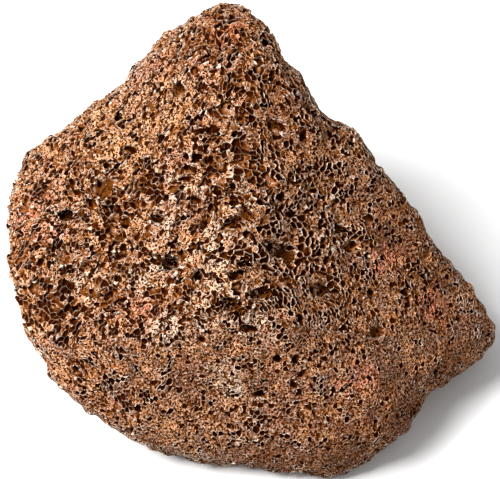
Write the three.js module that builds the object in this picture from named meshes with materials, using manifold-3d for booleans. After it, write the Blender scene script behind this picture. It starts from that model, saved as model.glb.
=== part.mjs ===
// One stone of red-brown scoria (lava rock), about 18 cm across, lying on its flattened underside.
// Millimetres, +Z up. The origin is under the middle of the stone, on the surface that it rests on.
//
// The stone is thought of as a thick pillow that leans back. Its broad face slopes up and away from
// the -Y side. A frame of three axes belongs to that face: "across" (+X), "up the slope", and "out"
// of the face. The pillow is shaped in that frame, leaned back, and cut flat where it rests.

import * as THREE from 'three';
import { ImprovedNoise } from 'three/addons/math/ImprovedNoise.js';
import { mergeVertices } from 'three/addons/utils/BufferGeometryUtils.js';
import Module from 'manifold-3d';

// ---------- driving dimensions ----------

const FACE_ELEVATION = 50; // degrees above the horizon that the broad face looks
const CENTRE_HEIGHT = 49; // from the ground to the middle of the pillow
const FRONT_DEPTH = 50; // from the middle of the pillow out to the crest of the broad face
const BACK_DEPTH = 74; // from the middle of the pillow to its back, before the flats are broken off
const SQUARENESS = 2.5; // 2 makes an ellipse of the pillow's section, more makes it boxier
const CREASE = 16; // how sharply the broken flats meet: higher is sharper
const SURFACE_DETAIL = 15; // subdivisions of each icosahedron face
const FLATTEN = 0.6; // squashes the icosahedron's directions towards the rim, so that its faces come out even

// The outline of the broad face, seen square on, counter-clockwise from the peak: [across, up the slope].
const OUTLINE = [
  [-5, 88],
  [-17, 84],
  [-27, 79],
  [-38, 70],
  [-47, 59],
  [-63, 47],
  [-81, 36],
  [-91, 22],
  [-96, 0],
  [-92, -19],
  [-85, -35],
  [-75, -46],
  [-66, -57],
  [-48, -70],
  [-31, -79],
  [-5, -84],
  [18, -86],
  [35, -87],
  [50, -78],
  [62, -67],
  [70, -57],
  [88, -47],
  [96, -36],
  [86, -20],
  [73, -5],
  [61, 12],
  [48, 29],
  [39, 40],
  [29, 46],
  [13, 68],
  [8, 77],
];

// The flats that make the ridges: [bearing, elevation, distance from the middle of the pillow].
// A bearing of 0 faces +X and one of 90 faces +Y.
const FLATS = [
  [232, 54, 41], // the left slope of the broad face
  [313, 47, 40], // the right slope of the broad face
  [262, 17, 52], // the foot, under the broad face
  [284, 70, 52], // the brow, above it
  [92, 8, 80], // the middle of the back
  [127, -8, 76], // the back's left half
  [58, -6, 62], // the back's right half
  [184, -18, 88], // the left side
];

// Broad lumps: how far they swell and sink, and how far apart they are.
const LUMPS = [
  { swell: 4, spacing: 47 },
  { swell: 2.2, spacing: 21 },
];
const RIM_CURL = 12; // how far the lower rim curls out, so that it just clears the ground
const RIM_SWAY = 7; // how far the rim wanders out and in on its way round

const RIM_FINENESS = 12; // points along the smooth rim for each point of the outline

// The widest gas pockets, on the broad face: [across, up the slope, width, height, depth].
const FACE_POCKETS = [
  [-24, 52, 5.5, 5, 4],
  [-32, 35, 6, 3.6, 3],
  [-66, 9, 6.6, 6.2, 5],
  [-28, -9, 7, 6.4, 5],
  [-16, 10, 10, 8.4, 3],
  [-7, 17, 9, 6, 4],
  [-7, -23, 6, 4.6, 4],
  [5, -19, 5.6, 5.4, 5],
  [11, -4, 4.8, 4.6, 4],
  [1, -31, 7.2, 3.6, 4],
  [24, -18, 5, 4.6, 4],
  [37, -3, 4.8, 4.4, 3.6],
  [19, 24, 4.8, 4.4, 3.6],
];

// The widest ones on the other sides: [bearing, elevation, width, height, depth].
const SIDE_POCKETS = [
  [75, 24, 8, 6.4, 5],
  [104, 12, 6, 5, 4],
  [128, 34, 7, 5.6, 4.4],
  [160, 14, 6.4, 5.4, 4.4],
  [196, 10, 5.6, 5, 4],
  [48, 8, 6.6, 5, 4.4],
  [20, 20, 5.4, 5, 4],
  [350, 4, 5.6, 4.6, 4],
];
const POCKET_DETAIL = 1; // subdivisions of a pocket's icosahedron faces

const COLOUR = 0x855b40;
const ROUGHNESS = 0.95;
const METALNESS = 0;

// ---------- solids ----------

const wasm = await Module();
wasm.setup();

function solidFrom(geometry) {
  const bare = geometry.clone();
  bare.deleteAttribute('normal');
  bare.deleteAttribute('uv');
  const merged = mergeVertices(bare);
  const vertProperties = new Float32Array(merged.getAttribute('position').array);
  const triVerts = new Uint32Array(merged.index.array);
  return new wasm.Manifold(new wasm.Mesh({ numProp: 3, vertProperties, triVerts }));
}

function geometryFrom(solid) {
  const { vertProperties, triVerts } = solid.getMesh();
  const geometry = new THREE.BufferGeometry();
  geometry.setAttribute('position', new THREE.Float32BufferAttribute(vertProperties, 3));
  geometry.setIndex(new THREE.Uint32BufferAttribute(triVerts, 1));
  geometry.computeVertexNormals();
  return geometry;
}

// ---------- directions ----------

// A unit vector that faces a compass bearing and an elevation above the horizon.
function facing(bearing, elevation) {
  const round = THREE.MathUtils.degToRad(bearing);
  const above = THREE.MathUtils.degToRad(elevation);
  return new THREE.Vector3(
    Math.cos(above) * Math.cos(round),
    Math.cos(above) * Math.sin(round),
    Math.sin(above),
  );
}

// Turns the face's frame (across, up the slope, out) into the world's, and back again.
const lean = new THREE.Quaternion().setFromAxisAngle(
  new THREE.Vector3(1, 0, 0),
  THREE.MathUtils.degToRad(90 - FACE_ELEVATION),
);
const unlean = lean.clone().invert();

// ---------- the stone's body ----------

// The rim's distance from the middle, at any angle round the face, read off a smooth closed curve.
const rimCurve = new THREE.CatmullRomCurve3(
  OUTLINE.map(([across, up]) => new THREE.Vector3(across, up, 0)),
  true,
);
const rimSamples = rimCurve
  .getPoints(OUTLINE.length * RIM_FINENESS)
  .slice(1) // the last point is the first one again
  .map((point) => ({ angle: Math.atan2(point.y, point.x), radius: point.length() }))
  .sort((a, b) => a.angle - b.angle);

function rimRadius(angle) {
  const after = rimSamples.findIndex((sample) => sample.angle >= angle);
  if (after <= 0) {
    return rimSamples[0].radius;
  }
  const from = rimSamples[after - 1];
  const to = rimSamples[after];
  const share = (angle - from.angle) / (to.angle - from.angle);
  return THREE.MathUtils.lerp(from.radius, to.radius, share);
}

const flats = FLATS.map(([bearing, elevation, distance]) => ({
  normal: facing(bearing, elevation).applyQuaternion(unlean),
  distance,
}));

// The smaller of several lengths, with the corner between them rounded off.
function roundedLeast(lengths) {
  const sum = lengths.reduce((total, length) => total + length ** -CREASE, 0);
  return sum ** (-1 / CREASE);
}

// How far the stone reaches from its middle in one direction of the face's frame.
function reach(direction) {
  const flatness = Math.hypot(direction.x, direction.y);
  const depth = direction.z > 0 ? FRONT_DEPTH : BACK_DEPTH;
  const sideways = flatness / rimRadius(Math.atan2(direction.y, direction.x));
  const outwards = Math.abs(direction.z) / depth;
  const pillow = (sideways ** SQUARENESS + outwards ** SQUARENESS) ** (-1 / SQUARENESS);
  const lengths = [pillow];
  for (const { normal, distance } of flats) {
    const towards = direction.dot(normal);
    if (towards > 0) {
      lengths.push(distance / towards);
    }
  }
  return roundedLeast(lengths);
}

const perlin = new ImprovedNoise();

// Everything that moves the surface along "out", which leaves the outline as it is.
function outwardShift(point) {
  let shift = 0;
  for (const { swell, spacing } of LUMPS) {
    shift += swell * perlin.noise(point.x / spacing, point.y / spacing, point.z / spacing);
  }
  const below = Math.max(-point.y / rimRadius(-Math.PI / 2), 0);
  const sway = (2 * point.x * point.y) / rimRadius(Math.PI) ** 2;
  return shift + RIM_CURL * below ** 2 + RIM_SWAY * sway;
}

function makeBody() {
  const geometry = new THREE.IcosahedronGeometry(1, SURFACE_DETAIL);
  const positions = geometry.getAttribute('position');
  const point = new THREE.Vector3();
  for (let i = 0; i < positions.count; i += 1) {
    point.fromBufferAttribute(positions, i);
    point.z *= FLATTEN;
    point.normalize();
    point.multiplyScalar(reach(point));
    point.z += outwardShift(point);
    positions.setXYZ(i, point.x, point.y, point.z);
  }
  geometry.applyQuaternion(lean);
  geometry.translate(0, 0, CENTRE_HEIGHT);
  return geometry;
}

// ---------- gas pockets ----------

const body = makeBody();
const middle = new THREE.Vector3(0, 0, CENTRE_HEIGHT);
const outOfFace = new THREE.Vector3(0, 0, 1).applyQuaternion(lean);
const FAR = 400; // well outside the stone

// Where a straight line from far outside first meets the stone, and the way the surface faces there.
function meet(from, heading) {
  const target = new THREE.Mesh(body, new THREE.MeshBasicMaterial());
  const [hit] = new THREE.Raycaster(from, heading).intersectObject(target);
  return { at: hit.point, normal: hit.face.normal.clone() };
}

function makePocket({ at, normal }, width, height, depth) {
  const pocket = new THREE.IcosahedronGeometry(1, POCKET_DETAIL);
  pocket.scale(width / 2, height / 2, depth);
  pocket.applyQuaternion(new THREE.Quaternion().setFromUnitVectors(new THREE.Vector3(0, 0, 1), normal));
  pocket.translate(at.x, at.y, at.z);
  return solidFrom(pocket);
}

function facePocket([across, up, width, height, depth]) {
  const from = new THREE.Vector3(across, up, FAR).applyQuaternion(lean).add(middle);
  return makePocket(meet(from, outOfFace.clone().negate()), width, height, depth);
}

function sidePocket([bearing, elevation, width, height, depth]) {
  const heading = facing(bearing, elevation).negate();
  const from = middle.clone().addScaledVector(heading, -FAR);
  return makePocket(meet(from, heading), width, height, depth);
}

// ---------- the finished stone ----------

function makeStone() {
  let stone = solidFrom(body);
  for (const pocket of [...FACE_POCKETS.map(facePocket), ...SIDE_POCKETS.map(sidePocket)]) {
    stone = stone.subtract(pocket);
  }
  const underground = new THREE.BoxGeometry(FAR, FAR, FAR);
  underground.translate(0, 0, -FAR / 2);
  const geometry = geometryFrom(stone.subtract(solidFrom(underground)));
  geometry.computeBoundingBox();
  const centre = geometry.boundingBox.getCenter(new THREE.Vector3());
  return geometry.translate(-centre.x, -centre.y, 0);
}

const scoria = new THREE.MeshStandardMaterial({
  color: COLOUR,
  roughness: ROUGHNESS,
  metalness: METALNESS,
});

const stone = new THREE.Mesh(makeStone(), scoria);
stone.name = 'lava_rock';

const model = new THREE.Group();
model.add(stone);

export default model;
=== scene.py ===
# %% [markdown]
# # A lava rock, from construction solid to finished stone
#
# Scoria is lava that froze while it was still frothing. Everything that makes it look like scoria
# is gas: broken hollows, crowded bubbles between them, and pores too small to count. This lesson
# takes the plain solid that construction made, cuts real bubbles into it by the thousand, and
# leaves only the finest pores to the material.

# %% Load the frame
import math

import bmesh
import bpy
import numpy as np
from mathutils import Euler, Matrix, Vector, noise
from mathutils.bvhtree import BVHTree


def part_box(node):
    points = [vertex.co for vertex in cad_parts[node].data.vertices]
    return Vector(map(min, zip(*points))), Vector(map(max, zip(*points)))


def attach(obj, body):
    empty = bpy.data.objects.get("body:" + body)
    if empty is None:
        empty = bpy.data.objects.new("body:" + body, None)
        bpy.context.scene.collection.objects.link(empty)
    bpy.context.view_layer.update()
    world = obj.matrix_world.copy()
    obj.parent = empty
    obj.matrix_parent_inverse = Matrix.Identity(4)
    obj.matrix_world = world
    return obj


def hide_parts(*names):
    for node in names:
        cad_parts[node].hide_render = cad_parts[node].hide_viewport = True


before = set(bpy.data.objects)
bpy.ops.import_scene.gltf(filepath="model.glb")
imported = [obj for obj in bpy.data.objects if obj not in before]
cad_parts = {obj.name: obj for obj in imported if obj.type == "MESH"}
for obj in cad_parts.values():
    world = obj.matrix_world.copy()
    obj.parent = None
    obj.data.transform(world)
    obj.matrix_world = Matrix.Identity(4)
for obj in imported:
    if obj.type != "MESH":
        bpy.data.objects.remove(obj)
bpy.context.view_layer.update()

MM = 0.001
stone_low, stone_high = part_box("lava_rock")
print("stone box, mm:", [round(side / MM) for side in stone_high - stone_low])

# %% [markdown]
# ## The stone's lie
#
# The stone leans back, and its broad face slopes up and away from us. Three directions that belong
# to that face make every later step easier to say: across it, up its slope, and straight out of it.

# %% Name the face's own directions
FACE_ELEVATION = math.radians(50)  # how far above the horizon the broad face looks
across = Vector((1, 0, 0))
out_of_face = Vector((0, -math.cos(FACE_ELEVATION), math.sin(FACE_ELEVATION)))
up_slope = out_of_face.cross(across)
stone_middle = (stone_low + stone_high) / 2
print("up the slope:", [round(value, 3) for value in up_slope])

# %% [markdown]
# ## The eye
#
# We look straight at the broad face, so a spot on it is most simply named by where it is seen: so
# far to the right and so far up from the middle of the view. A line from the eye through that
# point meets the stone at the spot itself. The camera is put at the same eye later.

# %% Say where the eye is
VIEW_WIDTH = 187.5 * MM  # how much of the scene is in view, level with the middle of the stone
LENS, SENSOR = 100, 36
view_centre = Vector((-0.0011, -0.0009, 0.0493))
eye = view_centre + out_of_face * (VIEW_WIDTH * LENS / SENSOR)


def seen_at(tree, right, up):
    """The spot on the stone that is seen at a place in the view, in millimetres from its middle."""
    aim_at = view_centre + (across * right + up_slope * up) * MM
    return tree.ray_cast(eye, (aim_at - eye).normalized())[:2]


print("the eye stands off by, mm:", round((eye - view_centre).length / MM))

# %% [markdown]
# ## Where the gas went
#
# The froth isn't even. Gas rose through the lump before it set, so the upper part is open foam and
# the lower part is fine-grained, with one tight patch on the left shoulder. A number from 0 to 1
# says how open the stone is at any place. The skin, the bubbles and the paint all use it.

# %% Say how open the froth is
FROTH_LINE = -30 * MM  # up the slope from the middle: finer below this line
FROTH_BLEND = 14 * MM
CLUSTER = 17 * MM  # how far apart the crowds of open bubbles are
SHOULDER = stone_middle + across * -50 * MM + up_slope * 42 * MM + out_of_face * 18 * MM
SHOULDER_REACH = 26 * MM
SHOULDER_EDGE = (0.6 * SHOULDER_REACH, 1.2 * SHOULDER_REACH)
CROWD_EDGE = (-0.3, 0.15)  # the noise below which there is no crowd, and over which it is full
WANDER, WANDER_SPACING = 16 * MM, 30 * MM  # how far all these borders stray, and how slowly
LEAST_OPEN = 0.15  # how open the froth still is below the line
SPARSE = 0.35  # how open it still is between the crowds
RIGHT_END = (5 * MM, 55 * MM)  # across from the middle: the froth gets finer from here to here
RIGHT_SHARE = 0.3  # how open it still is at the right-hand end


def smooth_step(value, low, high):
    """0 below low, 1 above high, with an easy curve between."""
    share = min(max((value - low) / (high - low), 0.0), 1.0)
    return share * share * (3 - 2 * share)


def openness(place):
    """How open the froth is at one place, from 0, fine-grained, to 1, wide open."""
    wander = WANDER * noise.noise(place / WANDER_SPACING)
    off = place - stone_middle
    height = off.dot(up_slope) + wander
    froth = smooth_step(height, FROTH_LINE - FROTH_BLEND, FROTH_LINE + FROTH_BLEND)
    tight = smooth_step((place - SHOULDER).length + wander, *SHOULDER_EDGE)
    crowd = smooth_step(noise.noise(place / CLUSTER), *CROWD_EDGE)
    right = 1 - (1 - RIGHT_SHARE) * smooth_step(off.dot(across) + wander, *RIGHT_END)
    return (LEAST_OPEN + (1 - LEAST_OPEN) * froth) * tight * right * (SPARSE + (1 - SPARSE) * crowd)


print("openness in the middle:", round(openness(stone_middle), 2))
print("openness on the shoulder:", round(openness(SHOULDER), 2))

# %% [markdown]
# ## The body
#
# The construction mesh has the stone's true bulk, but its faces are millimetres wide and its
# triangles are loose. A voxel remesh of a merged copy gives an even skin, like clay pressed over
# the solid, which can then take bumps of any shape. A subdivision surface would round off the
# ridges as well, so it isn't used.

# %% Copy the construction mesh and give it an even skin
SKIN_VOXEL = 1.3 * MM


def new_piece(name, mesh):
    """Puts a mesh into the scene as an object at the origin."""
    piece = bpy.data.objects.new(name, mesh)
    bpy.context.scene.collection.objects.link(piece)
    return piece


def apply_modifiers(piece):
    """Replaces a piece's mesh with what its modifiers make of it."""
    graph = bpy.context.evaluated_depsgraph_get()
    made = bpy.data.meshes.new_from_object(piece.evaluated_get(graph), depsgraph=graph)
    piece.modifiers.clear()
    old = piece.data
    piece.data = made
    bpy.data.meshes.remove(old)


def triangles_in(mesh):
    """How many triangles a mesh comes to."""
    return len(mesh.loops) - 2 * len(mesh.polygons)


clay = bmesh.new()
clay.from_mesh(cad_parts["lava_rock"].data)
bmesh.ops.remove_doubles(clay, verts=clay.verts, dist=0.01 * MM)
stone = new_piece("lava_rock_stone", bpy.data.meshes.new("lava_rock_stone"))
clay.to_mesh(stone.data)
clay.free()

remesh = stone.modifiers.new("Even skin", "REMESH")
remesh.mode = "VOXEL"
remesh.voxel_size = SKIN_VOXEL
apply_modifiers(stone)
print("skin faces:", len(stone.data.polygons))

# %% [markdown]
# ## Bumps and folds in the skin
#
# A broken lava surface is never smooth between its pores: it swells and sinks by about a
# millimetre over every centimetre, which Perlin noise does well. Where the froth is open it was
# also drawn out sideways as it flowed, so one noise is stretched across the stone and its crests
# are sharpened into folds. The rim broke off roughly, which leaves knobs along the outline. The
# stone still has to stand, so nothing may go below the ground.

# %% Raise the bumps and folds
SWELLS = [(14 * MM, 1.3 * MM), (5 * MM, 0.85 * MM)]  # spacing and height of each size of swelling
GRAIN_SPACING, TIGHT_GRAIN, OPEN_GRAIN = 1.9 * MM, 0.32 * MM, 0.14 * MM
FOLD_LENGTH, FOLD_WIDTH, FOLD_HEIGHT = 14 * MM, 7 * MM, 1.0 * MM
KNOB_SPACING, KNOB_HEIGHT = 4.2 * MM, 1.5 * MM  # the rim and the back are knobbier than the broad face
FOLD_SHARPNESS, FOLD_FOOT = 3, 0.4  # folds narrow with the first, and are raised from the second
FLOW_TURN = math.radians(-20)  # the folds run a little downhill to the right
RIM_FACING = (0.2, 0.75)  # skin that faces out of the face less than the first is rim, past the second not

along_flow = across * math.cos(FLOW_TURN) + up_slope * math.sin(FLOW_TURN)
over_flow = out_of_face.cross(along_flow)


def relief(place, facing):
    """How far the skin is raised or sunk at one place."""
    froth = openness(place)
    swell = sum(height * noise.noise(place / spacing) for spacing, height in SWELLS)
    grain = (TIGHT_GRAIN + (OPEN_GRAIN - TIGHT_GRAIN) * froth) * noise.noise(place / GRAIN_SPACING)
    off = place - stone_middle
    flow = Vector((
        off.dot(along_flow) / FOLD_LENGTH,
        off.dot(over_flow) / FOLD_WIDTH,
        off.dot(out_of_face) / FOLD_WIDTH,
    ))
    fold = 1 - FOLD_SHARPNESS * abs(noise.noise(flow))
    rim = 1 - smooth_step(facing.dot(out_of_face), *RIM_FACING)
    knob = KNOB_HEIGHT * rim * noise.noise(place / KNOB_SPACING)
    return swell + grain + knob + FOLD_HEIGHT * (fold - FOLD_FOOT) * froth


clay = bmesh.new()
clay.from_mesh(stone.data)
clay.normal_update()
raised = [corner.co + corner.normal * relief(corner.co, corner.normal) for corner in clay.verts]
for corner, place in zip(clay.verts, raised):
    corner.co = (place.x, place.y, max(place.z, stone_low.z))
bmesh.ops.triangulate(clay, faces=clay.faces)
clay.to_mesh(stone.data)
skin_tree = BVHTree.FromBMesh(clay)
clay.free()
heights = [(place.z - stone_low.z) / MM for place in raised]
print("heights before it was pressed flat, mm:", round(min(heights), 1), "to", round(max(heights), 1))

# %% [markdown]
# ## Bubbles of every size
#
# Froth is bubbles of every size at once, small ones in the walls and floors of big ones. They are
# made in three rounds: the broken hollows are cut first, then the whole skin is turned into a
# honeycomb of small cells, and last come the wide bubbles, which burst through the honeycomb.
# Places are drawn at random, evenly by area. A spatial grid tells whether a bubble has room.

# %% Draw one round of bubbles
BUBBLE_SEED = 7
draw = np.random.default_rng(BUBBLE_SEED)
CLOSENESS = 0.9  # 1 lets bubbles touch, and less lets them run into each other
UNDERSIDE = 1.5 * MM  # lower than this the stone is out of sight
SHARE_BELOW, SHARE_BEHIND = 0.06, 0.6  # how many bubbles are kept there, and on the back
BACK_FACING = -0.1  # the skin counts as the back when it faces out of the broad face less than this
NEXT_TO = (-1, 0, 1)
AROUND = [(i, j, k) for i in NEXT_TO for j in NEXT_TO for k in NEXT_TO]  # a grid cell and its neighbours


def draw_places(mesh, count):
    """Random places on a mesh, even by area, with the way that the surface faces there."""
    mesh.calc_loop_triangles()
    triangles = np.empty(3 * len(mesh.loop_triangles), np.int32)
    mesh.loop_triangles.foreach_get("vertices", triangles)
    places = np.empty(3 * len(mesh.vertices), np.float32)
    mesh.vertices.foreach_get("co", places)
    corners = places.reshape(-1, 3)[triangles.reshape(-1, 3)].astype(float)
    normals = np.cross(corners[:, 1] - corners[:, 0], corners[:, 2] - corners[:, 0])
    areas = np.linalg.norm(normals, axis=1)
    chosen = draw.choice(len(corners), count, p=areas / areas.sum())
    weights = draw.dirichlet((1, 1, 1), count)
    return (corners[chosen] * weights[:, :, None]).sum(1), normals[chosen] / areas[chosen, None]


class RoomFinder:
    """Remembers bubbles by the grid cell that they are in, and says whether a new one has room."""

    def __init__(self, reach):
        self.reach = reach
        self.cells = {}

    def home(self, place):
        """The grid cell that a place is in."""
        return tuple(int(value // self.reach) for value in place)

    def has_room(self, place, radius, closeness):
        """Whether a bubble stays clear of all those remembered so far."""
        x, y, z = self.home(place)
        for i, j, k in AROUND:
            for other, other_radius in self.cells.get((x + i, y + j, z + k), ()):
                if (other - place).length < closeness * (radius + other_radius):
                    return False
        return True

    def add(self, place, radius):
        """Remembers one bubble."""
        self.cells.setdefault(self.home(place), []).append((place, radius))


def share_kept(place, facing, share_in_tight):
    """How likely a bubble is to be kept at a place."""
    froth = openness(place)
    share = share_in_tight + (1 - share_in_tight) * froth
    if place.z < UNDERSIDE:
        return share * SHARE_BELOW
    return share if facing.dot(out_of_face) > BACK_FACING else share * SHARE_BEHIND


def draw_bubbles(mesh, tries, radii, share_in_tight):
    """One round of bubbles, small ones the commonest, each with its radius, place and facing."""
    low, high = radii
    sizes = sorted(low * (high / low) ** draw.random(tries) ** 2, reverse=True)
    room = RoomFinder(2 * high)
    bubbles = []
    for radius, place, facing in zip(sizes, *draw_places(mesh, tries)):
        place, facing = Vector(place), Vector(facing)
        if draw.random() < share_kept(place, facing, share_in_tight):
            if room.has_room(place, radius, CLOSENESS):
                room.add(place, radius)
                bubbles.append((radius, place, facing))
    return bubbles


chance = [round(share_kept(place, out_of_face, 0), 2) for place in (stone_middle, SHOULDER)]
print("chance that a bubble is kept in the middle and on the shoulder:", chance)

# %% [markdown]
# ## Cutting the bubbles out
#
# A bubble is a hollow with a sharp lip, so it is cut, not dented: a boolean difference takes
# away one many-sided blob for each bubble. The Manifold solver does thousands at once, if the
# blobs of one cutter don't touch each other. So they are dealt out into batches that stay clear.
# Each blob is an icosphere pushed out of round by noise, because no two bubbles froze alike.

# %% Make blobs and cut them away
BLOB_STRETCH = (0.75, 1.3)  # the least and most that a bubble is stretched along each of its axes
BLOB_DENT = 0.55  # how far the noise pushes a blob's corners, as a share of its radius
BLOB_LUMPS = 1.3  # how lumpy that noise is over a ball of radius 1
NOISE_SPAN = 100  # each blob takes its noise from its own place within this distance
CLEAR = 1.25 * BLOB_STRETCH[1]  # blobs this many of their radii apart can't touch


def deal(bubbles):
    """Shares bubbles out into batches in which none touches another."""
    reach = 2 * CLEAR * max(radius for radius, place, facing in bubbles)
    batches = []
    for bubble in bubbles:
        radius, place = bubble[0], bubble[1]
        for batch, finder in batches:
            if finder.has_room(place, radius, CLEAR):
                break
        else:
            batch, finder = [], RoomFinder(reach)
            batches.append((batch, finder))
        batch.append(bubble)
        finder.add(place, radius)
    return [batch for batch, finder in batches]


def add_blob(cutter, detail, middle, turn, half_sides):
    """Adds one bubble's blob to a cutter: dented, stretched, turned and put in its place."""
    blob = bmesh.new()
    bmesh.ops.create_icosphere(blob, subdivisions=detail, radius=1)
    where = Vector(draw.uniform(-NOISE_SPAN, NOISE_SPAN, 3))
    for corner in blob.verts:
        corner.co *= 1 + BLOB_DENT * noise.noise(corner.co * BLOB_LUMPS + where)
    shape = turn.to_4x4() @ Matrix.Diagonal(half_sides).to_4x4()
    bmesh.ops.transform(blob, matrix=Matrix.Translation(middle) @ shape, verts=blob.verts)
    one = bpy.data.meshes.new("blob")
    blob.to_mesh(one)
    blob.free()
    cutter.from_mesh(one)
    bpy.data.meshes.remove(one)


def cut_away(blobs):
    """Cuts one batch of blobs out of the stone."""
    cutter = new_piece("bubbles", bpy.data.meshes.new("bubbles"))
    blobs.to_mesh(cutter.data)
    blobs.free()
    cut = stone.modifiers.new("Gas bubbles", "BOOLEAN")
    cut.operation = "DIFFERENCE"
    cut.solver = "MANIFOLD"
    cut.object = cutter
    apply_modifiers(stone)
    bpy.data.objects.remove(cutter)


def cut_bubbles(bubbles, fine_from, sunk):
    """Cuts bubbles out of the stone, one batch after another."""
    for batch in deal(bubbles):
        blobs = bmesh.new()
        for radius, place, facing in batch:
            detail = 1 + sum(radius > limit for limit in fine_from)
            turn = Euler(draw.uniform(0, 2 * math.pi, 3)).to_matrix()
            half_sides = draw.uniform(*BLOB_STRETCH, 3) * radius
            add_blob(blobs, detail, place - facing * radius * draw.uniform(*sunk), turn, half_sides)
        cut_away(blobs)


print("a blob's half width is from", *BLOB_STRETCH, "of its bubble's radius")

# %% [markdown]
# ## The hollows that it is known by
#
# Some hollows are this stone's own: the ones that anyone would know it by. They are listed by where
# they are seen, and each one is cut by a blob that lies along the face, turned as it should be.

# %% Cut the hollows that this stone is known by
KNOWN_SUNK = 0.15  # how far in the blob's middle lies, as a share of its depth
KNOWN_DETAIL = 3  # how many times over its facets are split
# right, up, half width, half height and depth in millimetres, then degrees of turn
KNOWN_HOLLOWS = [
    (-26.3, 56.1, 3.6, 2.5, 3.5, 0),
    (-33.8, 37.7, 2.4, 1.3, 2.5, 45),
    (-68.3, 8.5, 4.4, 4.2, 2.2, 0),
    (-81.8, 9.9, 2.8, 2.6, 2.0, 0),
    (-30.0, -8.8, 4.0, 3.6, 1.9, 0),
    (-15.8, 9.2, 4.6, 3.9, 2.4, 0),
    (-7.5, 7.3, 4.2, 1.8, 3.5, 30),
    (4.5, -20.1, 3.0, 3.0, 3.0, 0),
    (-7.1, -24.2, 3.0, 2.2, 3.5, -20),
    (-5.3, -13.3, 2.7, 1.9, 3.0, 10),
    (-2.6, -9.2, 2.2, 1.3, 3.0, 0),
    (0.0, -33.9, 3.4, 1.6, 3.0, -5),
    (10.1, -45.2, 2.2, 2.1, 3.5, 0),
    (17.3, -45.2, 1.6, 1.6, 2.5, 0),
    (12.8, -5.8, 2.4, 1.8, 3.0, 15),
    (11.6, 15.9, 1.9, 1.8, 3.0, 0),
    (33.8, 4.3, 2.5, 2.1, 3.0, 0),
    (26.3, -18.9, 2.3, 2.7, 3.5, 0),
    (9.4, 42.9, 3.8, 2.2, 3.0, -10),
    (-22.5, 26.1, 3.3, 1.4, 2.6, -5),
    (-24.0, 22.7, 3.3, 1.2, 2.2, 5),
    (-21.0, 15.2, 3.1, 1.6, 2.6, -10),
    (-7.1, 18.6, 2.4, 3.1, 3.0, 0),
    (31.1, 42.9, 4.2, 1.5, 2.6, -35),
    (19.9, 39.2, 1.6, 2.7, 3.0, 0),
    (-45.0, 33.6, 2.6, 1.7, 3.0, -15),
    (-48.8, -5.8, 2.5, 1.7, 3.0, 10),
    (47.6, -34.7, 2.9, 2.2, 3.0, 0),
    (58.1, -19.7, 1.9, 1.5, 2.6, 0),
    (-35.6, 8.1, 3.4, 1.9, 3.2, -10),
    (3.8, -57.9, 2.3, 1.6, 2.6, 0),
]
for right, up, half_width, half_height, depth, degrees in KNOWN_HOLLOWS:
    place, facing = seen_at(skin_tree, right, up)
    along = across * math.cos(math.radians(degrees)) + up_slope * math.sin(math.radians(degrees))
    upright = facing.cross(along).normalized()
    turn = Matrix((upright.cross(facing), upright, facing)).transposed()
    blobs = bmesh.new()
    half_sides = [side * MM for side in (half_width, half_height, depth)]
    add_blob(blobs, KNOWN_DETAIL, place - facing * depth * KNOWN_SUNK * MM, turn, half_sides)
    cut_away(blobs)
print("known hollows:", len(KNOWN_HOLLOWS), "triangles:", triangles_in(stone.data))

# %% Cut the broken hollows
FINE_FROM = (1.35 * MM, 3 * MM)  # wider bubbles than these have more facets
HOLLOW_TRIES, HOLLOW_RADII = 230, (2.0 * MM, 4.5 * MM)
# sunk says how far in a bubble's middle lies, in radii: less than 0 is outside the skin, which
# leaves only a shallow hollow
hollows = draw_bubbles(stone.data, HOLLOW_TRIES, HOLLOW_RADII, share_in_tight=0.05)
cut_bubbles(hollows, FINE_FROM, sunk=(-0.55, -0.1))
print("hollows:", len(hollows), "triangles:", triangles_in(stone.data))

# %% [markdown]
# ## A honeycomb of small bubbles
#
# The small bubbles touch on all sides, so that nothing is left of the skin but the thin walls
# between them. Cutting that many one by one would take a million triangles. There is a shorter
# way: a Decimate modifier leaves an uneven net of triangles, and the Dual Mesh node turns each
# corner of the net into a cell with five to seven sides. A vertex group tells Decimate how readily
# the net's corners merge, and so how wide the cells come out at each place.

# %% Turn the skin into cells
CELLS = 23000
SMALL, BIG = 0.05, 0.62  # how readily the net's corners merge, in tight froth and in open
BEHIND = 0.15  # the back of the stone gets that much more
SIZE_WANDER, SIZE_SPACING = 0.42, 3.6 * MM  # how much that varies, and over what distance
WANDER_IN_TIGHT = 0.3  # the share of it that tight froth has
LEAST_MERGING, MOST_MERGING = 0.05, 0.85
GROUP_STRENGTH = 0.001  # how far Decimate heeds the group: a little is plenty on a piece this small


def make_dual_group():
    """A geometry node group that gives a mesh's dual: a face round each corner."""
    group = bpy.data.node_groups.new("Cells round corners", "GeometryNodeTree")
    for way in ("INPUT", "OUTPUT"):
        group.interface.new_socket("Mesh", in_out=way, socket_type="NodeSocketGeometry")
    given, dual, result = [
        group.nodes.new(kind) for kind in ("NodeGroupInput", "GeometryNodeDualMesh", "NodeGroupOutput")
    ]
    group.links.new(given.outputs["Mesh"], dual.inputs["Mesh"])
    group.links.new(dual.outputs["Dual Mesh"], result.inputs["Mesh"])
    return group


merging = stone.vertex_groups.new(name="merging")
for corner in stone.data.vertices:
    froth = openness(corner.co)
    size = SMALL + (BIG - SMALL) * froth
    wander = SIZE_WANDER * noise.noise(corner.co / SIZE_SPACING)
    size += wander * (WANDER_IN_TIGHT + (1 - WANDER_IN_TIGHT) * froth)
    if corner.co.z < UNDERSIDE:
        size = BIG
    elif corner.normal.dot(out_of_face) < 0:
        size += BEHIND
    merging.add([corner.index], min(max(size, LEAST_MERGING), MOST_MERGING), "REPLACE")

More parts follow.
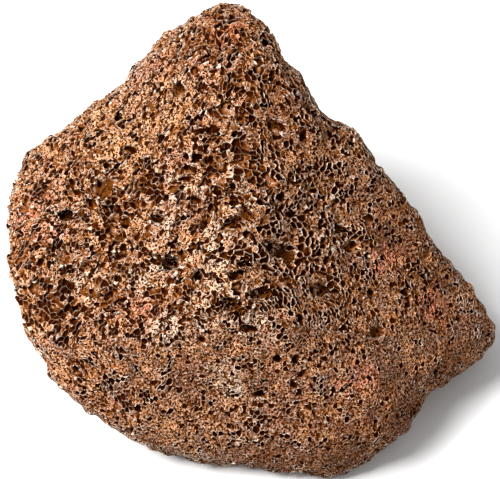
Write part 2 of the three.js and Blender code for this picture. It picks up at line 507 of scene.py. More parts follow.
net = stone.modifiers.new("Uneven net", "DECIMATE")
net.ratio = 2 * CELLS / triangles_in(stone.data)
net.vertex_group = merging.name
net.vertex_group_factor = GROUP_STRENGTH
honeycomb = stone.modifiers.new("Honeycomb", "NODES")
honeycomb.node_group = make_dual_group()
apply_modifiers(stone)
stone.vertex_groups.clear()
print("cells:", len(stone.data.polygons))

# %% [markdown]
# The cells come out too regular and too whole. So the corners between them stray a little along
# the skin, and some walls are dissolved, so that two neighbours run together.

# %% Let the corners stray and break some walls
BROKEN_WALLS = 0.7  # the chance that a wall between two whole cells is gone in open froth
SLANT = 0.24  # how far a corner between cells strays, as a share of the walls that meet there

clay = bmesh.new()
clay.from_mesh(stone.data)
clay.normal_update()
for corner in clay.verts:
    reach = SLANT * sum(wall.calc_length() for wall in corner.link_edges) / len(corner.link_edges)
    stray = Vector(draw.uniform(-reach, reach, 3))
    corner.co += stray - corner.normal * stray.dot(corner.normal)
walls = [edge for edge in clay.edges if min(corner.co.z for corner in edge.verts) > UNDERSIDE]
draw.shuffle(walls)
joined, broken = set(), []
for wall in walls[::2]:
    pair = set(wall.link_faces)
    if not pair & joined and draw.random() < BROKEN_WALLS * openness(wall.verts[0].co):
        joined |= pair
        broken.append(wall)
bmesh.ops.dissolve_edges(clay, edges=broken)
cells = [face for face in clay.faces if face.calc_center_median().z > UNDERSIDE]
print("walls broken:", len(broken), "cells left:", len(cells))

# %% [markdown]
# A wide cell is a bowl, with steep walls and a broad floor: it is inset, and the inset face is sunk.
# The inset operator takes one thickness and one depth for all its faces, so the cells are sorted
# into groups that are alike. Then every cell and every bowl's floor is poked, which adds a point in
# its middle, and sinking that point makes it a cup.

# %% Sink the cells
BOWL_FROM = 0.95 * MM  # a cell is a bowl if its half width is more than this
BOWL_STEP = 0.15 * MM  # bowls are sunk together in sizes this far apart
BOWL_WALL, BOWL_STEEP = 0.2, 0.65  # a bowl's wall takes this share of its half width, and of its depth
DEPTHS = (0.1, 0.2, 0.5, 0.9, 1.3, 1.6)  # how deep a cell can be, as a share of its half width
USUAL_DEPTH = 2.3  # which of those is the usual one, counted from 0
DEPTH_WANDER, DEPTH_LUCK = 3.4, 1.8  # how many steps from it noise and chance can take a cell
DEPTH_SPACING = 5 * MM  # neighbours within this distance are about as deep as each other
TIGHT_DEPTH = 0.6  # how deep the cups of tight froth are, as a share of open ones
DEEPEST_CUP = 2.5 * MM


def cell_depth(place):
    """One cell's depth, as a share of its half width."""
    step = USUAL_DEPTH + DEPTH_WANDER * noise.noise(place / DEPTH_SPACING)
    step += draw.uniform(-DEPTH_LUCK, DEPTH_LUCK)
    return DEPTHS[min(max(round(step), 0), len(DEPTHS) - 1)]


bowls = {}
for cell in cells:
    half_width = math.sqrt(cell.calc_area() / math.pi)
    if half_width > BOWL_FROM:
        kind = (round(half_width / BOWL_STEP), cell_depth(cell.calc_center_median()))
        bowls.setdefault(kind, []).append(cell)
sunk = set()
for (steps, depth), alike in bowls.items():
    half_width = steps * BOWL_STEP
    drop = min(half_width * depth, DEEPEST_CUP)
    wall, sink = half_width * BOWL_WALL, -drop * BOWL_STEEP
    bmesh.ops.inset_individual(clay, faces=alike, thickness=wall, depth=sink, use_even_offset=False)
    sunk.update(alike)
print("bowls:", len(sunk))
clay.normal_update()
drops = []
for cell in cells:
    half_width = math.sqrt(cell.calc_area() / math.pi)
    middle = cell.calc_center_median()
    depth = cell_depth(middle) * (TIGHT_DEPTH + (1 - TIGHT_DEPTH) * openness(middle))
    drops.append(min(half_width * depth, DEEPEST_CUP) * (1 - BOWL_STEEP if cell in sunk else 1))
ways = [cell.normal.copy() for cell in cells]
cups = bmesh.ops.poke(clay, faces=cells, center_mode="MEAN")["verts"]
for cup, way, drop in zip(cups, ways, drops):
    cup.co -= way * drop
bmesh.ops.triangulate(clay, faces=[face for face in clay.faces if len(face.verts) > 3])
clay.to_mesh(stone.data)
clay.free()
print("triangles in the honeycomb:", triangles_in(stone.data))

# %% Burst the wide bubbles through it
WIDE_TRIES, WIDE_RADII = 2700, (0.75 * MM, 2.2 * MM)
wide = draw_bubbles(stone.data, WIDE_TRIES, WIDE_RADII, share_in_tight=0.07)
cut_bubbles(wide, FINE_FROM, sunk=(-0.3, 0.35))
print("wide bubbles:", len(wide), "triangles:", triangles_in(stone.data))

# %% [markdown]
# ## Tidying the cut mesh
#
# The cuts leave crumbs that hang on nothing and slivers too thin to see. Crumbs go first, by
# walking over each connected part and keeping the biggest. Then a Decimate modifier folds the
# slivers into their neighbours, down to a count that a stone this size can carry. That can leave
# flaps, two faces back to back on the same three corners, which are deleted. Last, a noise moves
# every vertex a fraction of a millimetre, which breaks the lips as weather does. Vector noise
# starts from the clock unless it is given a seed, and the stone has to come out the same each time.

# %% Drop the crumbs, fold the slivers away and weather the lips
MOST_TRIANGLES = 197000
WEAR_SPACING, WEAR_REACH = 1.2 * MM, 0.2 * MM
WEAR_SEED = 5


def connected_parts(bm):
    """The faces of each connected part of a mesh."""
    left = set(bm.faces)
    parts = []
    while left:
        start = left.pop()
        part, edge_of_part = [start], [start]
        while edge_of_part:
            face = edge_of_part.pop()
            for edge in face.edges:
                for other in edge.link_faces:
                    if other in left:
                        left.remove(other)
                        part.append(other)
                        edge_of_part.append(other)
        parts.append(part)
    return parts


def twin_faces(bm):
    """Faces that lie back to back on the same corners, and so hold nothing between them."""
    alike = {}
    for face in bm.faces:
        alike.setdefault(frozenset(face.verts), []).append(face)
    return [face for faces in alike.values() if len(faces) > 1 for face in faces]


clay = bmesh.new()
clay.from_mesh(stone.data)
parts = sorted(connected_parts(clay), key=len)
crumbs = [face for part in parts[:-1] for face in part]
bmesh.ops.delete(clay, geom=crumbs, context="FACES")
bmesh.ops.triangulate(clay, faces=clay.faces)
clay.to_mesh(stone.data)
clay.free()
print("crumbs dropped:", len(parts) - 1, "triangles:", triangles_in(stone.data))

if triangles_in(stone.data) > MOST_TRIANGLES:
    thin = stone.modifiers.new("Fold slivers", "DECIMATE")
    thin.ratio = MOST_TRIANGLES / triangles_in(stone.data)
    apply_modifiers(stone)

clay = bmesh.new()
clay.from_mesh(stone.data)
flaps = twin_faces(clay)
bmesh.ops.delete(clay, geom=flaps, context="FACES")
noise.seed_set(WEAR_SEED)
for corner in clay.verts:
    corner.co += noise.noise_vector(corner.co / WEAR_SPACING) * WEAR_REACH
    corner.co.z = max(corner.co.z, stone_low.z)
print("flaps dropped:", len(flaps), "open edges:", sum(edge.is_boundary for edge in clay.edges))
clay.to_mesh(stone.data)
clay.free()
print("stone triangles:", triangles_in(stone.data))

# %% [markdown]
# ## What the paint needs to know
#
# The material will ask five things of each spot: how open the froth is there, how shut in it is,
# how much of a lip it is on, how deep below the skin it lies, and how far that skin faces down.
# They are worked out once for each vertex and kept on the mesh as attributes. A vertex is shut in
# if short rays from it hit stone again, and it is on a lip if its neighbours lie behind it.

# %% Note what the paint needs on the mesh
SIGHT = 4 * MM  # how far the rays look
RAYS = 10  # from each vertex
LOWEST_RAY = 0.9  # the rays leave out the band nearest the surface: they end this far down
LIFT = 0.05 * MM  # how far off the surface a ray starts
DEEP = 3 * MM  # this far below the skin counts as fully deep


def spread_rays(count):
    """Directions spread evenly over the half of a ball that faces up."""
    golden = math.pi * (3 - math.sqrt(5))
    rays = []
    for i in range(count):
        height = 1 - (i + 0.5) / count * LOWEST_RAY
        width = math.sqrt(1 - height * height)
        rays.append(Vector((math.cos(golden * i) * width, math.sin(golden * i) * width, height)))
    return rays


def shut_in(tree, corner, rays):
    """The share of a corner's rays that hit the stone, near hits counting most."""
    turn = corner.normal.to_track_quat("Z", "X")
    start = corner.co + corner.normal * LIFT
    total = 0
    for ray in rays:
        distance = tree.ray_cast(start, turn @ ray, SIGHT)[3]
        if distance is not None:
            total += 1 - distance / SIGHT
    return total / len(rays)


def crest_at(corner):
    """1 where a corner stands proud of its neighbours, 0 where it lies behind them."""
    others = [edge.other_vert(corner).co for edge in corner.link_edges]
    middle = sum(others, Vector()) / len(others)
    size = sum((other - corner.co).length for other in others) / len(others)
    return min(max(0.5 + (corner.co - middle).dot(corner.normal) / size, 0), 1)


def note(mesh, name, values):
    """Keeps one number for each vertex of a mesh, under a name."""
    layer = mesh.attributes.new(name, "FLOAT", "POINT")
    layer.data.foreach_set("value", np.array(values, np.float32))
    spread = np.percentile(values, (10, 50, 90)).round(2)
    print(name, "at 10, 50 and 90%:", spread)


clay = bmesh.new()
clay.from_mesh(stone.data)
clay.normal_update()
stone_tree = BVHTree.FromBMesh(clay)
rays = spread_rays(RAYS)
note(stone.data, "shut_in", [shut_in(stone_tree, corner, rays) for corner in clay.verts])
note(stone.data, "crest", [crest_at(corner) for corner in clay.verts])
note(stone.data, "froth", [openness(corner.co) for corner in clay.verts])
on_skin = [skin_tree.find_nearest(corner.co) for corner in clay.verts]
note(stone.data, "depth", [min(distance / DEEP, 1) for place, facing, face, distance in on_skin])
note(stone.data, "under", [max(-facing.z, 0) for place, facing, face, distance in on_skin])
clay.free()

# %% [markdown]
# ## Stains and painted shade
#
# Scoria lies about for years. Water leaves a pale crust in some hollows, iron turns some spots
# ochre or red, and soot or lichen greys others. The shaded patches are painted shade, darker on
# the right-hand slopes, along the lower edge and round the peak. Each is listed by where it is
# seen and how far it reaches, and noise frays its edge. The back of the stone has only the broad
# noises of the material.

# %% Note the stains and the shaded patches on the mesh
# right, up and reach in millimetres
STAINS_AND_SHADE = {
    "ochre": [(-48.0, 44.0, 20), (-58.0, 30.0, 14), (-30.0, 52.0, 12)],
    "pale": [
        (-42.5, -14.0, 8), (-36.0, -10.0, 6), (3.8, -31.8, 6), (-23.6, 18.0, 7), (-30.0, 22.0, 5),
        (-4.9, 14.2, 5), (-62.9, -13.8, 6), (-54.0, -15.0, 5), (-8.6, -54.8, 6), (-12.0, -48.0, 4),
        (-13.0, -23.0, 11), (-12.0, -5.0, 9), (-30.0, -32.0, 9), (-32.0, 7.0, 8),
    ],
    "red": [
        (40.1, -52.5, 8), (68.1, -24.8, 7), (49.5, -7.5, 6), (55.0, -8.5, 5), (-85.9, 8.6, 8),
        (-39.9, -26.8, 7), (-10.5, 78.0, 7), (-74.0, 3.0, 6),
    ],
    "grey": [(1.5, -68.2, 9), (-6.9, 33.2, 10), (-5.0, 22.0, 6), (-70.0, -22.0, 6)],
    # painted shade: darker on the right-hand slopes, along the lower edge and round the peak
    "shaded_patch": [
        (30.0, -80.0, 22), (56.0, -66.0, 17), (8.0, -84.0, 15), (74.0, -46.0, 12), (-8.0, 80.0, 14),
        (14.0, 56.0, 12), (30.0, 42.0, 10), (56.0, 2.0, 18), (68.0, -22.0, 16),
    ],
}
STAIN_FRAY, FRAY_SPACING = 1.0, 4 * MM
FINER = 3  # a second noise this much finer, and half as strong, frays it again
STAIN_END, STAIN_BLEND = 1.1, 0.8  # in reaches: where a stain ends, and how far in it is full

places = np.array([corner.co for corner in stone.data.vertices])
fray = np.array([noise.noise(corner.co / FRAY_SPACING) for corner in stone.data.vertices])
fray += np.array([noise.noise(corner.co / FRAY_SPACING * FINER) for corner in stone.data.vertices]) / 2
for name, spots in STAINS_AND_SHADE.items():
    strength = np.zeros(len(places))
    for right, up, reach in spots:
        middle = np.array(seen_at(skin_tree, right, up)[0])
        share = np.linalg.norm(places - middle, axis=1) / (reach * MM) + STAIN_FRAY * fray
        strength = np.maximum(strength, np.clip((STAIN_END - share) / STAIN_BLEND, 0, 1))
    note(stone.data, name, strength)
    print("vertices stained", name + ":", int((strength > 0).sum()))

# %% Shade it smooth, but for the edges
SHARP_FROM = math.radians(50)
stone.data.shade_smooth()
stone.data.set_sharp_from_angle(angle=SHARP_FROM)
print("edges kept sharp:", sum(item.value for item in stone.data.attributes["sharp_edge"].data))

# %% [markdown]
# ## A map for the baked finish
#
# A baked finish is a flat picture, so every face needs its own place in it. The stone is unrolled
# into six charts, one for each way that it can be looked at, with the broad face the largest. A
# vertex is first dropped to the uncut skin, so that the walls of a bubble don't fold over its rim.

# %% Unroll the stone into six charts
SMALLER = 0.62  # the scale of the other charts, with the broad face at 1
GAP = 3 * MM
PLACE_WEIGHT = 0.7  # how much a face's place counts in choosing its side, beside the way it faces

axes = np.array([across, up_slope, out_of_face])
dropped = np.array([skin_tree.find_nearest(corner.co)[0] for corner in stone.data.vertices])
flat = (dropped - np.array(stone_middle)) @ axes.T
low, size = flat.min(axis=0), np.ptp(flat, axis=0)
half = size / 2

facings = np.array([skin_tree.find_nearest(face.center)[1] for face in stone.data.polygons]) @ axes.T
centres = (np.array([face.center for face in stone.data.polygons]) - np.array(stone_middle)) @ axes.T
votes = facings + PLACE_WEIGHT * centres / half
side = np.argmax(np.hstack([votes, -votes]), axis=1)

small = size * SMALLER
column = size[0] + GAP
# for each side: the two axes that it is drawn along, where its corner goes, and its scale
CHARTS = [
    ((2, 1), (0, size[1] + GAP), SMALLER),
    ((0, 2), (column, small[1] + GAP), SMALLER),
    ((0, 1), (0, 0), 1),
    ((2, 1), (small[2] + GAP, size[1] + GAP), SMALLER),
    ((0, 2), (column, small[1] + small[2] + 2 * GAP), SMALLER),
    ((0, 1), (column, 0), SMALLER),
]
whole = max(column + small[0], size[1] + GAP + small[1], small[1] + 2 * small[2] + 2 * GAP) + 2 * GAP
loop_corners = np.empty(len(stone.data.loops), np.int32)
stone.data.loops.foreach_get("vertex_index", loop_corners)
loop_sides = np.repeat(side, [len(face.loop_indices) for face in stone.data.polygons])
spots = np.zeros((len(loop_corners), 2))
for number, (drawn_along, corner_at, scale) in enumerate(CHARTS):
    here = loop_sides == number
    chart = (flat[loop_corners[here]] - low)[:, drawn_along] * scale
    spots[here] = (chart + corner_at + GAP) / whole
bake_map = stone.data.uv_layers.new(name="OFBake")
bake_map.data.foreach_set("uv", spots.astype(np.float32).ravel())
print("charts fill, across and up:", spots.max(axis=0).round(2), "faces:", np.bincount(side))

# %% [markdown]
# ## A piece of the model
#
# Nothing on a stone moves, so it rides the root. It takes the place of the construction solid, and
# its only slot is for the scoria.

# %% Finish the stone as a piece
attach(stone, "root")
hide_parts("lava_rock")
print("finished stone, mm:", [round(side / MM, 1) for side in stone.dimensions])

# %% [markdown]
# ## Small helpers for shader nodes
#
# A material is a graph, and building one takes hundreds of links. A few helpers let the lines
# below read like sums. Most of what they pass on are masks: numbers from 0 to 1 over the surface.

# %% Helpers for shader nodes
def node(tree, kind, **settings):
    """Adds a node and sets its own options."""
    made = tree.nodes.new(kind)
    for name, value in settings.items():
        setattr(made, name, value)
    return made


def feed(tree, socket, source):
    """Gives a socket a value, or links it to another node's output."""
    if isinstance(source, bpy.types.NodeSocket):
        tree.links.new(source, socket)
    else:
        socket.default_value = source


def calculate(tree, operation, *sources):
    """A Math node's answer."""
    made = node(tree, "ShaderNodeMath", operation=operation)
    for socket, source in zip(made.inputs, sources):
        feed(tree, socket, source)
    return made.outputs[0]


def times(tree, *sources):
    """Two or more numbers multiplied together."""
    product = sources[0]
    for source in sources[1:]:
        product = calculate(tree, "MULTIPLY", product, source)
    return product


def largest(tree, *sources):
    """The largest of two or more numbers."""
    found = sources[0]
    for source in sources[1:]:
        found = calculate(tree, "MAXIMUM", found, source)
    return found


def opposite(tree, share):
    """1 where a mask is 0, and 0 where it is 1."""
    return calculate(tree, "SUBTRACT", 1, share)


def scaled(tree, place, factor):
    """A place with each of its numbers multiplied by a factor."""
    made = node(tree, "ShaderNodeVectorMath", operation="SCALE")
    feed(tree, made.inputs[0], place)
    feed(tree, made.inputs["Scale"], factor)
    return made.outputs[0]


def rise(tree, value, low, high):
    """0 where value is under low, 1 where it is over high, with an easy curve between."""
    made = node(tree, "ShaderNodeMapRange", interpolation_type="SMOOTHSTEP")
    for name, source in (("Value", value), ("From Min", low), ("From Max", high)):
        feed(tree, made.inputs[name], source)
    return made.outputs[0]


def between(tree, share, low, high):
    """A straight mix of two numbers."""
    made = node(tree, "ShaderNodeMapRange")
    for name, source in (("Value", share), ("To Min", low), ("To Max", high)):
        feed(tree, made.inputs[name], source)
    return made.outputs[0]


def paint(tree, share, under, over):
    """Lays one colour over another, as thickly as share says."""
    made = node(tree, "ShaderNodeMix", data_type="RGBA")
    for name, source in (("Factor_Float", share), ("A_Color", under), ("B_Color", over)):
        feed(tree, next(socket for socket in made.inputs if socket.identifier == name), source)
    return next(socket for socket in made.outputs if socket.identifier == "Result_Color")


def soft_noise(tree, place, spacing, detail=1.0):
    """Smooth noise from 0 to 1, with features about this far apart."""
    made = node(tree, "ShaderNodeTexNoise")
    for name, source in (("Vector", place), ("Scale", 1 / spacing), ("Detail", detail)):
        feed(tree, made.inputs[name], source)
    return made.outputs["Fac"]


print("helpers:", ", ".join(helper.__name__ for helper in (calculate, rise, between, paint, soft_noise)))

# %% [markdown]
# ## The finest pores, as a node group
#
# Pores under a millimetre are too many to cut. A Voronoi texture scatters points at random, and the
# distance to the nearest point is small inside a round pore. Each cell also has a colour of its
# own, which serves as that pore's luck: it sets whether the pore is there and how wide it is. The
# group puts out a mask of the hollows and a mask of the raised lips, and is used for two sizes.

# %% The pores group
VECTOR, NUMBER = "NodeSocketVector", "NodeSocketFloat"
PORE_WIDTHS = (0.55, 1.25)  # the narrowest and the widest pore, as shares of the group's Width
# in pore widths: where the hollow begins to end and has ended, then the same for the lip's two sides
HOLLOW_EDGE, LIP_INSIDE, LIP_OUTSIDE = (0.55, 0.9), (0.85, 1.1), (1.15, 1.6)


def make_pores():
    """Pores of one size: a mask of the hollows and a mask of the lips round them."""
    group = bpy.data.node_groups.new("Pores", "ShaderNodeTree")
    for label, kind in (("Place", VECTOR), ("Spacing", NUMBER), ("Crowding", NUMBER), ("Width", NUMBER)):
        group.interface.new_socket(label, in_out="INPUT", socket_type=kind)
    for label in ("Hollow", "Lip"):
        group.interface.new_socket(label, in_out="OUTPUT", socket_type=NUMBER)
    given, result = node(group, "NodeGroupInput"), node(group, "NodeGroupOutput")
    scale = calculate(group, "DIVIDE", 1, given.outputs["Spacing"])
    cells = node(group, "ShaderNodeTexVoronoi")
    feed(group, cells.inputs["Vector"], scaled(group, given.outputs["Place"], scale))
    feed(group, cells.inputs["Scale"], 1.0)
    luck = node(group, "ShaderNodeSeparateColor")
    feed(group, luck.inputs[0], cells.outputs["Color"])
    width = times(group, given.outputs["Width"], between(group, luck.outputs[0], *PORE_WIDTHS))
    there = calculate(group, "LESS_THAN", luck.outputs[1], given.outputs["Crowding"])
    distance = cells.outputs["Distance"]

    def past(edge):
        """0 inside one edge of a pore and 1 outside it."""
        return rise(group, distance, *[times(group, width, share) for share in edge])

    hollow = opposite(group, past(HOLLOW_EDGE))
    lip = calculate(group, "SUBTRACT", past(LIP_INSIDE), past(LIP_OUTSIDE))
    feed(group, result.inputs["Hollow"], times(group, hollow, there))
    feed(group, result.inputs["Lip"], times(group, lip, there))
    return group


pores_group = make_pores()


def pores(tree, place, spacing, crowding, width):
    """One size of pore, from the group."""
    made = node(tree, "ShaderNodeGroup", node_tree=pores_group)
    for name, source in (("Place", place), ("Spacing", spacing), ("Crowding", crowding), ("Width", width)):
        feed(tree, made.inputs[name], source)
    return made.outputs["Hollow"], made.outputs["Lip"]


print("nodes in the pores group:", len(pores_group.nodes))

# %% [markdown]
# ## The scoria material
#
# The colour is built up in coats: a red-brown body, stains where iron rusted and water dried,
# painted shade near the ground, under the stone, in some patches and in the hollows, and bright
# lips that are partly wear and partly painted highlight. First come the masks that say where each
# of these is. The material starts with what the mesh knows.

# %% Start the material with what the mesh knows
LIP_CREST, CUP_CREST = (0.74, 0.97), (0.1, 0.45)  # how proud a lip stands, and how far back a cup lies


def noted(tree, name):
    """A number that was noted on the mesh."""
    return node(tree, "ShaderNodeAttribute", attribute_name=name).outputs["Fac"]


scoria = bpy.data.materials.new("scoria")
scoria.use_nodes = True
tree = scoria.node_tree
shader = tree.nodes["Principled BSDF"]
place = scaled(tree, node(tree, "ShaderNodeTexCoord").outputs["Object"], 1 / MM)
froth, closed, crest = noted(tree, "froth"), noted(tree, "shut_in"), noted(tree, "crest")
lip = rise(tree, crest, *LIP_CREST)
cup = opposite(tree, rise(tree, crest, *CUP_CREST))
print("nodes so far:", len(tree.nodes))

# %% [markdown]
# The pores group is placed twice, with a noise that pushes its cells out of round. Pores are only
# painted in the open, because the floor of a hollow is too dark with painted shade to show them.

# %% Scatter the finest pores
WARP_SCALE, WARP_REACH = 0.8, 0.7  # how fine the push is, per millimetre, and how far it goes
# spacing in millimetres, the share of cells that hold a pore, and the pore's width by its spacing
WIDE_PORES, FINE_PORES = (1.15, 0.6, 0.5), (0.72, 0.92, 0.58)
OPEN_GROUND = (0.08, 0.3)  # how shut in a spot is where pores begin to fade and where they are gone

warp = node(tree, "ShaderNodeTexNoise")
for name, source in (("Vector", place), ("Scale", WARP_SCALE), ("Detail", 0.0)):
    feed(tree, warp.inputs[name], source)
push = node(tree, "ShaderNodeVectorMath", operation="ADD")
feed(tree, push.inputs[0], place)
feed(tree, push.inputs[1], scaled(tree, warp.outputs["Color"], WARP_REACH))
strayed = push.outputs[0]

wide_hollow, wide_lip = pores(tree, strayed, *WIDE_PORES)
fine_hollow, fine_lip = pores(tree, strayed, *FINE_PORES)
in_the_open = opposite(tree, rise(tree, closed, *OPEN_GROUND))
hollow = times(tree, largest(tree, wide_hollow, fine_hollow), in_the_open)
bright = largest(tree, wide_lip, fine_lip)
print("nodes so far:", len(tree.nodes))

# %% [markdown]
# Painted shade darkens the colour in a cup, where stone closes in, far below the skin, and in the
# dips of a fine grit, where little light would reach. The darkest of the four wins at each spot.

# %% Say where it is dark
GRIT_SPACING = 0.85  # in millimetres
CUP_SHARE, DEEP_SHARE, DIP_SHARE = 0.5, 0.6, 0.6  # how dark each painted shade can be by itself
SHUT_IN, FAR_DOWN, DIPS = (0.10, 0.54), (0.3, 1.0), (0.36, 0.47)  # where each begins and is full

grit = soft_noise(tree, place, GRIT_SPACING, 2.0)
# painted shade: cups, shut-in spots, spots far below the skin and the dips of the grit are darkened
shade = largest(tree, times(tree, cup, CUP_SHARE), rise(tree, closed, *SHUT_IN))
deep = times(tree, rise(tree, noted(tree, "depth"), *FAR_DOWN), DEEP_SHARE)
dips = times(tree, opposite(tree, rise(tree, grit, *DIPS)), DIP_SHARE)
# all the painted shade, with the pores' hollows: the darkest wins
painted_shade = largest(tree, hollow, largest(tree, shade, deep, dips))
print("nodes so far:", len(tree.nodes))

# %% [markdown]
# Now the colours, one over another like thin coats. Each coat's mask says how thickly it lies. The
# hollows get painted shade in two full steps, brown and then nearly black, and the lips come last,
# partly as wear and partly as painted highlight. The shaded patches and shut-in spots dim the lips,
# as painted shade.

# %% Lay the colours
BROWN = (0.185, 0.042, 0.0050, 1)
TAN = (0.48, 0.163, 0.033, 1)
RUST = (0.30, 0.075, 0.020, 1)
FOAM = (0.62, 0.272, 0.100, 1)
OCHRE = (0.62, 0.31, 0.112, 1)
# cream for wear and painted highlight on lips and grit tops
WEAR_AND_HIGHLIGHT_CREAM = (1.0, 0.86, 0.71, 1)
PALE = (0.78, 0.61, 0.43, 1)
RED = (0.66, 0.185, 0.090, 1)
GREY = (0.17, 0.105, 0.064, 1)
# colour of painted shade near the ground and under the stone
GROUND_SHADE_BROWN = (0.040, 0.013, 0.004, 1)
# colour of the shaded patches: painted shade
PATCH_SHADE_BROWN = (0.15, 0.042, 0.012, 1)
# colours of painted shade: a brown step and a nearly black step
SHADED_FLOOR_BROWN = (0.175, 0.050, 0.0070, 1)
SHADED_HOLLOW_BROWN = (0.028, 0.0038, 0.0002, 1)
# the body's drifts of tan and rust: spacing in millimetres, detail, and where each begins and is full
TAN_DRIFTS, RUST_DRIFTS = (8, 3.0, 0.36, 0.64), (21, 1.0, 0.54, 0.72)
FOAM_SHARE = 0.4
STAIN_AND_SHADE_COATS = [
    # painted shade
    ("shaded_patch", 0.6, PATCH_SHADE_BROWN),
    ("ochre", 0.5, OCHRE),
    ("red", 0.9, RED),
    ("grey", 0.4, GREY),
    ("pale", 0.5, PALE),
]
LOW_SHADE_HEIGHTS, LOW_SHADE_SHARE = (2, 36), 0.6  # in millimetres: painted shade near the ground is full up to the first, gone at the second
UNDER, UNDER_SHARE = (0.02, 0.4), 0.75  # painted shade again, where the skin faces down this much


def drifts(spacing, detail, low, high):
    """A mask of cloudy drifts."""
    return rise(tree, soft_noise(tree, place, spacing, detail), low, high)


colour = paint(tree, drifts(*TAN_DRIFTS), BROWN, TAN)
colour = paint(tree, drifts(*RUST_DRIFTS), colour, RUST)
colour = paint(tree, times(tree, froth, FOAM_SHARE), colour, FOAM)
for name, most, tint in STAIN_AND_SHADE_COATS:
    colour = paint(tree, times(tree, noted(tree, name), most), colour, tint)
height_above = node(tree, "ShaderNodeSeparateXYZ")
feed(tree, height_above.inputs[0], place)
# painted shade: darker towards the ground
shade_near_ground = opposite(tree, rise(tree, height_above.outputs["Z"], *LOW_SHADE_HEIGHTS))
colour = paint(tree, times(tree, shade_near_ground, LOW_SHADE_SHARE), colour, GROUND_SHADE_BROWN)
# painted shade: darker where the skin faces down
under = rise(tree, noted(tree, "under"), *UNDER)
colour = paint(tree, times(tree, under, UNDER_SHARE), colour, GROUND_SHADE_BROWN)
print("coats of stain and soil:", len(STAIN_AND_SHADE_COATS) + 2)

# %% Paint shade into the hollows, and wear and highlight onto the lips
PORE_LIP_SHARE, GRIT_TOPS = 0.55, (0.56, 0.66)  # pores' lips and the tops of the grit, lightened as wear and painted highlight
WORN_HIGHLIGHT_SHARE, LIP_SHARE = 0.45, 0.75  # how bright the worn skin and the lips of the cells can be, as wear and painted highlight
LIP_LIGHT_IN_PATCHES = (1.0, 0.5)  # how bright a lip is outside the shaded patches, and in them
LIP_SHUT_IN, SHUT_IN_LIP_LIGHT = (0.16, 0.45), (1.0, 0.3)  # painted shade on lips: how shut in a lip is, and how bright it stays there
FLOOR_SHADE_STEP, HOLLOW_SHADE_STEP, HOLLOW_SHADE_SHARE = (0.05, 0.6), (0.45, 0.95), 0.97  # the two steps of painted shade

# wear and painted highlight: the pores' lips and the tops of the grit
worn_and_highlit = largest(tree, times(tree, bright, PORE_LIP_SHARE), rise(tree, grit, *GRIT_TOPS))
# how bright the lips stay: less in the shaded patches, and less again where shut in, as painted shade
lip_light = between(tree, noted(tree, "shaded_patch"), *LIP_LIGHT_IN_PATCHES)
lip_light = times(tree, lip_light, between(tree, rise(tree, closed, *LIP_SHUT_IN), *SHUT_IN_LIP_LIGHT))
# cream on the grit tops and pores' lips, as wear and painted highlight
colour = paint(tree, times(tree, worn_and_highlit, WORN_HIGHLIGHT_SHARE, lip_light), colour, WEAR_AND_HIGHLIGHT_CREAM)
# painted shade: the hollows darken in two steps, brown and then nearly black
colour = paint(tree, rise(tree, painted_shade, *FLOOR_SHADE_STEP), colour, SHADED_FLOOR_BROWN)
colour = paint(tree, times(tree, rise(tree, painted_shade, *HOLLOW_SHADE_STEP), HOLLOW_SHADE_SHARE), colour, SHADED_HOLLOW_BROWN)
# cream on the cells' lips, as wear and painted highlight
colour = paint(tree, times(tree, lip, LIP_SHARE, lip_light), colour, WEAR_AND_HIGHLIGHT_CREAM)
feed(tree, shader.inputs["Base Color"], colour)
print("nodes so far:", len(tree.nodes))

# %% [markdown]
# Grit and pores are too small for the mesh, so a Bump node tilts the light on them. Scoria doesn't
# shine at all: it is as rough as can be, and its specular level is nothing.

# %% Roughen it and put it on the stone
GRIT_HEIGHT, BUMP_DISTANCE = 1.5, 0.7 * MM  # the grit's height by a pore's depth, and that depth
ROUGH_SKIN, ROUGH_HOLLOW = 0.82, 1.0

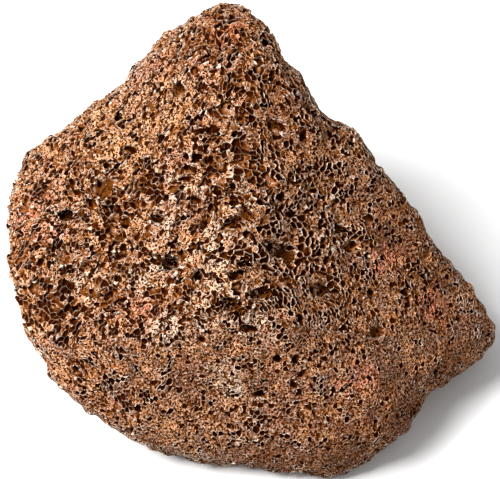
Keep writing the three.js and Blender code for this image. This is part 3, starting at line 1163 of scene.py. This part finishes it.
height = calculate(tree, "SUBTRACT", times(tree, grit, GRIT_HEIGHT), hollow)
bump = node(tree, "ShaderNodeBump")
for name, source in (("Height", height), ("Distance", BUMP_DISTANCE), ("Strength", 1.0)):
    feed(tree, bump.inputs[name], source)
feed(tree, shader.inputs["Normal"], bump.outputs["Normal"])
feed(tree, shader.inputs["Roughness"], between(tree, hollow, ROUGH_SKIN, ROUGH_HOLLOW))
shader.inputs["Specular IOR Level"].default_value = 0.0

stone.data.materials.clear()
stone.data.materials.append(scoria)
print("nodes in the scoria:", len(tree.nodes))

# %% [markdown]
# ## Floor, light and camera
#
# A wide area light stands high on the left, and a plain white sky fills the shadows. The camera
# stands at the eye, far off with a long lens, so that the stone isn't drawn out of shape.

# %% Lay the floor
FLOOR_REACH = 3
PAPER = (0.9, 0.9, 0.9, 1)

floor_mesh = bmesh.new()
bmesh.ops.create_grid(floor_mesh, x_segments=1, y_segments=1, size=FLOOR_REACH)
floor = new_piece("floor", bpy.data.meshes.new("floor"))
floor_mesh.to_mesh(floor.data)
floor_mesh.free()
paper = bpy.data.materials.new("paper")
paper.use_nodes = True
paper.node_tree.nodes["Principled BSDF"].inputs["Base Color"].default_value = PAPER
floor.data.materials.append(paper)
print("floor, m:", [round(side, 1) for side in floor.dimensions])

# %% Light it and aim the camera
SKY_STRENGTH = 0.5
KEY_POWER, KEY_SIZE, KEY_PLACE = 28, 0.6, Vector((-0.7, -0.15, 0.95))

world = bpy.data.worlds.new("studio")
bpy.context.scene.world = world
world.use_nodes = True
sky = world.node_tree.nodes["Background"]
sky.inputs["Color"].default_value = (1, 1, 1, 1)
sky.inputs["Strength"].default_value = SKY_STRENGTH


def aim(thing, place, target):
    """Stands a light or the camera at a place and turns it to look at a target."""
    thing.location = place
    thing.rotation_euler = (target - place).to_track_quat("-Z", "Y").to_euler()


key = bpy.data.lights.new("key", "AREA")
key.energy = KEY_POWER
key.size = KEY_SIZE
key_light = bpy.data.objects.new("key", key)
bpy.context.scene.collection.objects.link(key_light)
aim(key_light, KEY_PLACE, stone_middle)

lens = bpy.data.cameras.new("camera")
lens.lens, lens.sensor_width = LENS, SENSOR
camera = bpy.data.objects.new("camera", lens)
bpy.context.scene.collection.objects.link(camera)
bpy.context.scene.camera = camera
aim(camera, eye, view_centre)
bpy.context.scene.view_settings.view_transform = "Standard"
print("camera at, m:", [round(value, 2) for value in camera.location])
